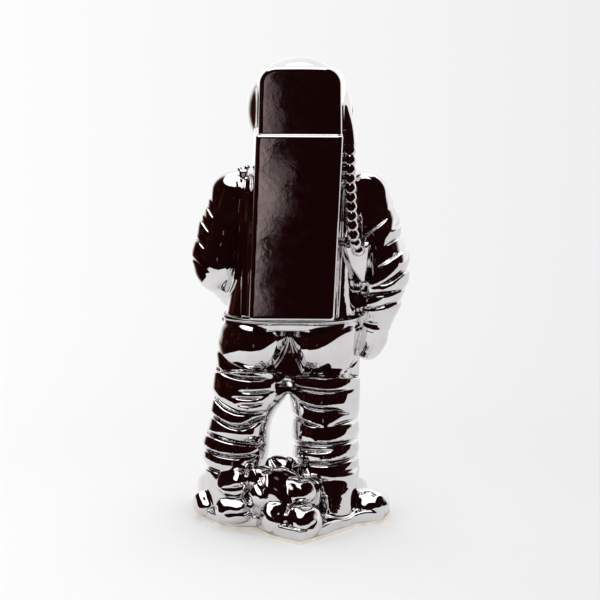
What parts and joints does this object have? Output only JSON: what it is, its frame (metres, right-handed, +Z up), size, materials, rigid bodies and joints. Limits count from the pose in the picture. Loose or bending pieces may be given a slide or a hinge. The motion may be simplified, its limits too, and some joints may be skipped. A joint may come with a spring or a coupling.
{
  "type": "astronaut statuette",
  "caption": "Free-standing ceramic statuette of an astronaut in a bulky space suit with back pack, ribbed hose and closed visor, on a rocky base, with a mirror-chrome glaze.",
  "frame": {"origin": "centre of the base's underside, on the surface that the statuette stands on", "axes": "+Z up, the figure faces -Y, +X is the figure's left"},
  "size_m": [0.1735, 0.143, 0.3725],
  "materials": {
    "chrome_glaze": "mirror-chrome metal lustre over glaze, very smooth with a faint orange peel",
    "bisque": "unglazed fired slip, matt"
  },
  "bodies": {
    "root": {"back_strap": "chrome_glaze", "backpack_lower": "chrome_glaze", "backpack_upper": "chrome_glaze", "base_slab": "bisque", "breathing_hose": "chrome_glaze", "chest_control_box": "chrome_glaze", "harness_strap_left": "chrome_glaze", "harness_strap_right": "chrome_glaze", "helmet_cover_left": "chrome_glaze", "helmet_cover_right": "chrome_glaze", "helmet_shell": "chrome_glaze", "hose_connectors": "chrome_glaze", "jacket_hem": "chrome_glaze", "left_boot": "chrome_glaze", "left_cuff": "chrome_glaze", "left_forearm_sleeve": "chrome_glaze", "left_glove": "chrome_glaze", "left_trouser_leg": "chrome_glaze", "left_upper_sleeve": "chrome_glaze", "neck_ring": "chrome_glaze", "pelvis": "chrome_glaze", "right_boot": "chrome_glaze", "right_cuff": "chrome_glaze", "right_forearm_sleeve": "chrome_glaze", "right_glove": "chrome_glaze", "right_trouser_leg": "chrome_glaze", "right_upper_sleeve": "chrome_glaze", "rock_core": "chrome_glaze", "rock_front_left": "chrome_glaze", "rock_front_right": "chrome_glaze", "rock_middle_left": "chrome_glaze", "rock_middle_right": "chrome_glaze", "rock_outer_left": "chrome_glaze", "rock_outer_right": "chrome_glaze", "rock_peak": "chrome_glaze", "rock_plate": "chrome_glaze", "rock_rear_left": "chrome_glaze", "rock_rear_tip": "chrome_glaze", "rock_side_left": "chrome_glaze", "rock_step": "chrome_glaze", "rock_upper_left": "chrome_glaze", "shoulder_buckle": "chrome_glaze", "torso": "chrome_glaze", "visor": "chrome_glaze"}
  },
  "joints": []
}
